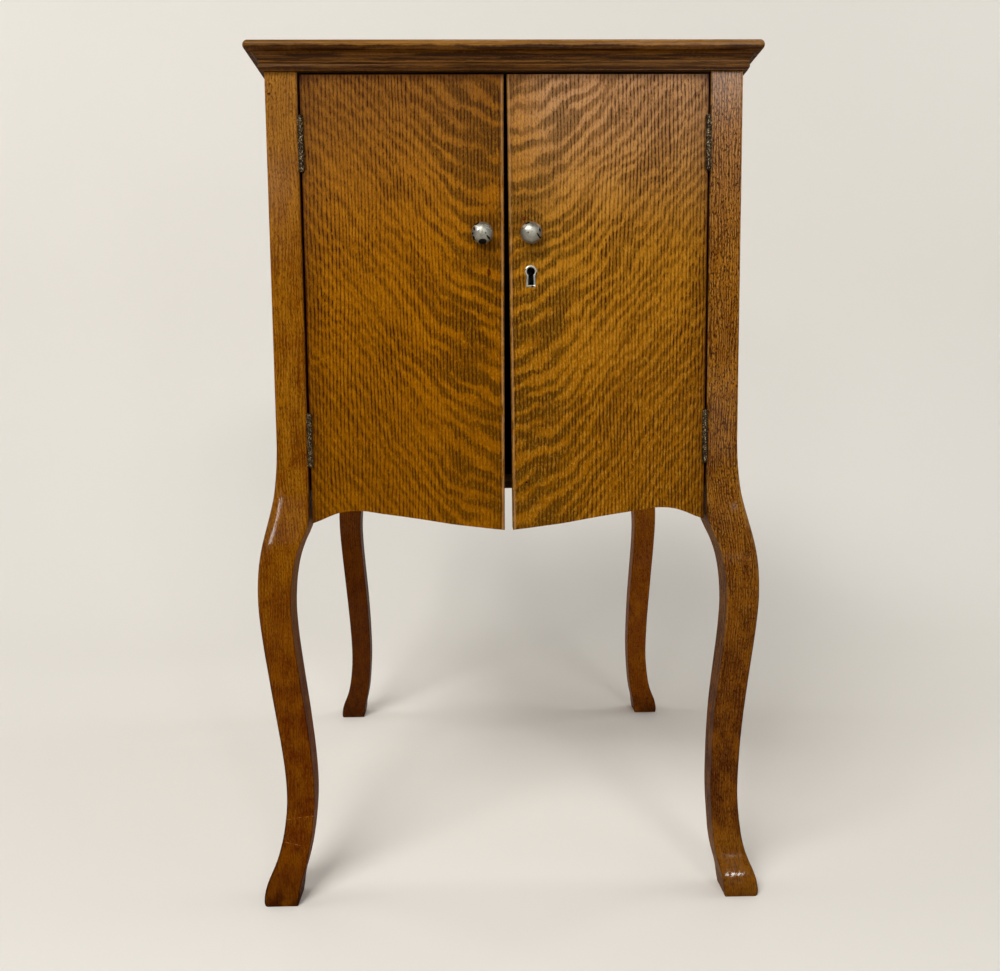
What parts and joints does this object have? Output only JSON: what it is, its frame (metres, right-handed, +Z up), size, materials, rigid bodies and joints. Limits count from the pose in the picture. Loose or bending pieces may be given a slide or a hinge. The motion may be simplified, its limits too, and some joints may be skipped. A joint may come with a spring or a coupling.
{
  "type": "gramophone record cabinet",
  "caption": "Record cabinet on cabriole legs, with a moulded top, inset hinged doors with knobs and a keyhole lock, and upright record dividers.",
  "frame": {"origin": "on the floor, at the middle of the footprint", "axes": "+Z up, the doors face -Y, +X is to the right seen from the front"},
  "size_m": [0.4238, 0.4938, 0.711],
  "materials": {
    "leg_oak": "glossy golden-brown varnish",
    "moulding_oak": "dark brown varnish",
    "top_oak": "brown varnish, worn pale along the nosing",
    "quarter_sawn_oak": "golden quarter-sawn oak, satin varnish",
    "case_oak": "golden oak, satin varnish",
    "inner_wood": "plain unvarnished wood",
    "satin_nickel": "satin nickel plate, worn",
    "escutcheon_nickel": "satin nickel plate",
    "hinge_metal": "tarnished",
    "steel": "plain",
    "brass": "dull"
  },
  "bodies": {
    "cabinet": {"leg_front_left": "leg_oak", "leg_front_right": "leg_oak", "leg_rear_left": "leg_oak", "leg_rear_right": "leg_oak", "top_board": "top_oak", "moulding_front": "moulding_oak", "moulding_left": "moulding_oak", "moulding_right": "moulding_oak", "side_panel_left": "case_oak", "side_panel_right": "case_oak", "back_panel": "inner_wood", "floor_board": "inner_wood", "top_rail_front": "case_oak", "top_rail_back": "inner_wood", "top_rail_left": "inner_wood", "top_rail_right": "inner_wood", "door_stop": "case_oak", "floor_cleat_left": "inner_wood", "floor_cleat_right": "inner_wood", "floor_cleat_back": "inner_wood", "divider_1": "inner_wood", "divider_2": "inner_wood", "divider_3": "inner_wood", "divider_4": "inner_wood", "top_screws": "steel", "cleat_screws": "steel", "back_nails": "steel", "hinge_leaf_frame_upper_left": "hinge_metal", "hinge_leaf_frame_lower_left": "hinge_metal", "hinge_leaf_frame_upper_right": "hinge_metal", "hinge_leaf_frame_lower_right": "hinge_metal", "hinge_pin_upper_left": "hinge_metal", "hinge_pin_lower_left": "hinge_metal", "hinge_pin_upper_right": "hinge_metal", "hinge_pin_lower_right": "hinge_metal", "hinge_screws_frame": "steel"},
    "left_door": {"left_door": "quarter_sawn_oak", "left_knob": "satin_nickel", "left_knob_screw": "steel", "lock_strike": "brass", "strike_screws": "brass", "door_bolt_guide": "brass", "door_bolt_screws": "brass", "hinge_leaf_door_upper_left": "hinge_metal", "hinge_leaf_door_lower_left": "hinge_metal", "hinge_screws_left_door": "steel"},
    "right_door": {"right_door": "quarter_sawn_oak", "right_knob": "satin_nickel", "right_knob_screw": "steel", "keyhole_escutcheon": "escutcheon_nickel", "lock_case": "brass", "lock_screws": "brass", "hinge_leaf_door_upper_right": "hinge_metal", "hinge_leaf_door_lower_right": "hinge_metal", "hinge_screws_right_door": "steel"},
    "lock_bolt": {"lock_bolt": "brass"},
    "door_bolt": {"door_bolt_rod": "brass"}
  },
  "joints": [
    {"name": "left_door_swing", "type": "hinge", "parent": "cabinet", "child": "left_door", "pos_m": [-0.1644, -0.2293, 0.396], "axis": [0, 0, -1], "range_deg": [0, 90]},
    {"name": "right_door_swing", "type": "hinge", "parent": "cabinet", "child": "right_door", "pos_m": [0.1644, -0.2293, 0.396], "axis": [0, 0, 1], "range_deg": [0, 90]},
    {"name": "lock_bolt_slide", "type": "slide", "parent": "right_door", "child": "lock_bolt", "axis": [-1, 0, 0], "range_m": [0, 0.009]},
    {"name": "door_bolt_slide", "type": "slide", "parent": "left_door", "child": "door_bolt", "axis": [0, 0, 1], "range_m": [0, 0.008]}
  ]
}
